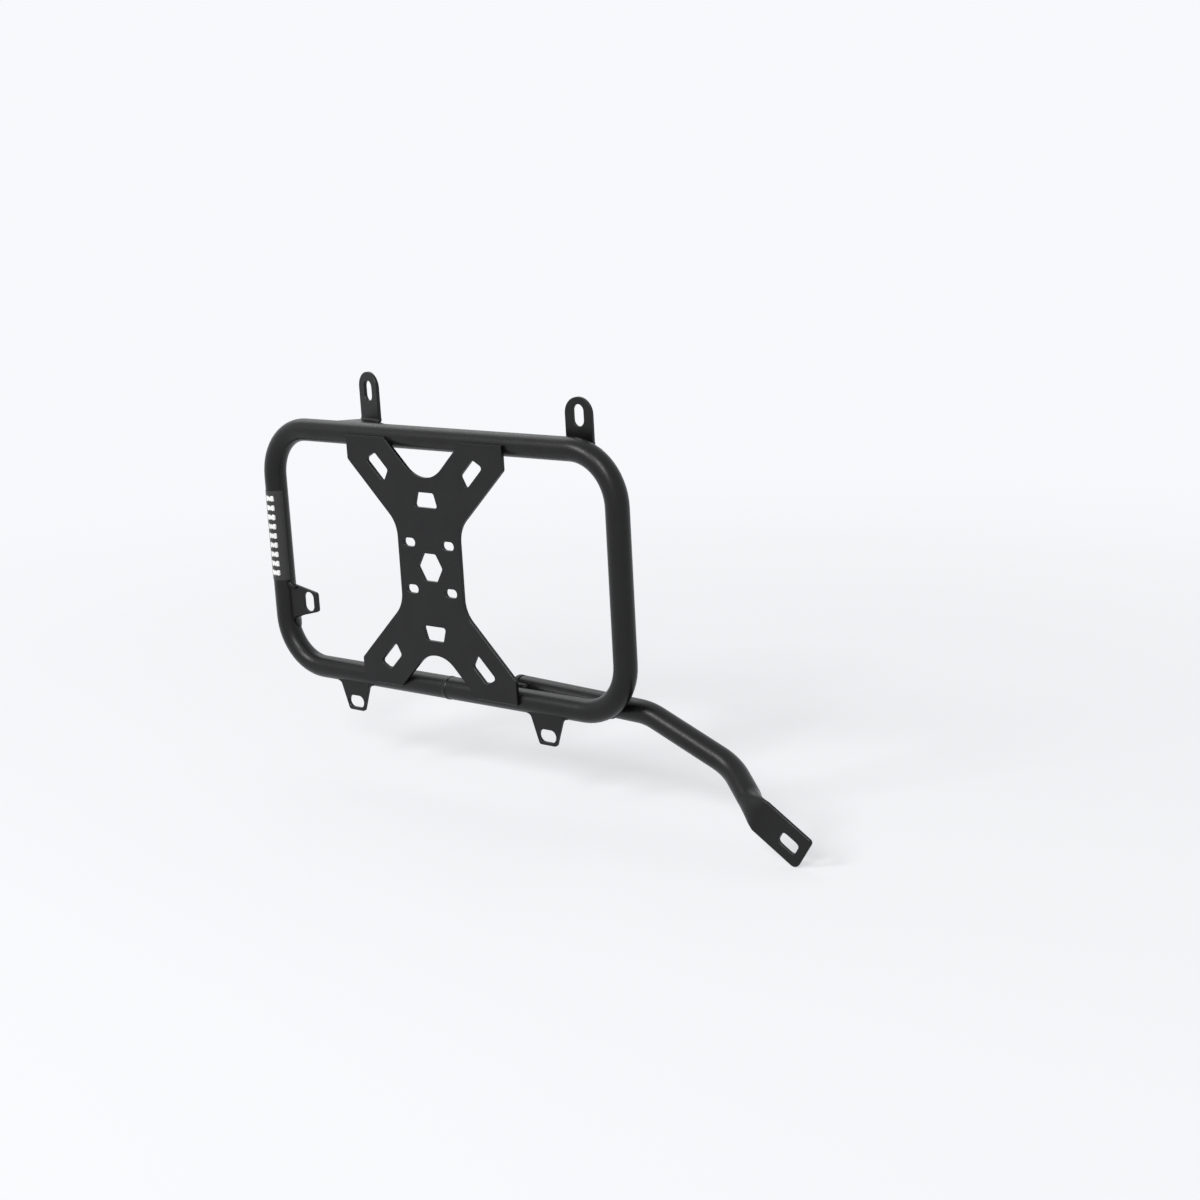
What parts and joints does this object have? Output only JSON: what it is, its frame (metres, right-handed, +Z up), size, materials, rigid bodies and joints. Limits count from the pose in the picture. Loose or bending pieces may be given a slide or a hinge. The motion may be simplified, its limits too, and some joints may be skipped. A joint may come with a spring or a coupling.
{
  "type": "pannier frame",
  "caption": "Motorbike pannier frame: a bent tube loop with an X-shaped cut-out plate, slotted brackets and tabs, and a cranked support arm pressed flat at its end.",
  "frame": {"origin": "middle of the cross plate's outer face, between its four slots", "axes": "+X forwards along the motorbike, +Y inwards to the motorbike, +Z up"},
  "size_m": [0.5254, 0.0643, 0.3214],
  "materials": {
    "powder_coat": "satin",
    "cap_plastic": "matte",
    "label_film": "satin"
  },
  "bodies": {
    "root": {"main_loop": "powder_coat", "loop_seam_weld": "powder_coat", "cross_plate": "powder_coat", "plate_welds": "powder_coat", "rear_bracket": "powder_coat", "rear_bracket_welds": "powder_coat", "front_bracket": "powder_coat", "front_bracket_welds": "powder_coat", "side_tab": "powder_coat", "lower_tab_rear": "powder_coat", "lower_tab_front": "powder_coat", "tab_welds": "powder_coat", "support_arm": "powder_coat", "arm_welds": "powder_coat", "arm_end_cap": "cap_plastic", "tube_label": "label_film"}
  },
  "joints": []
}
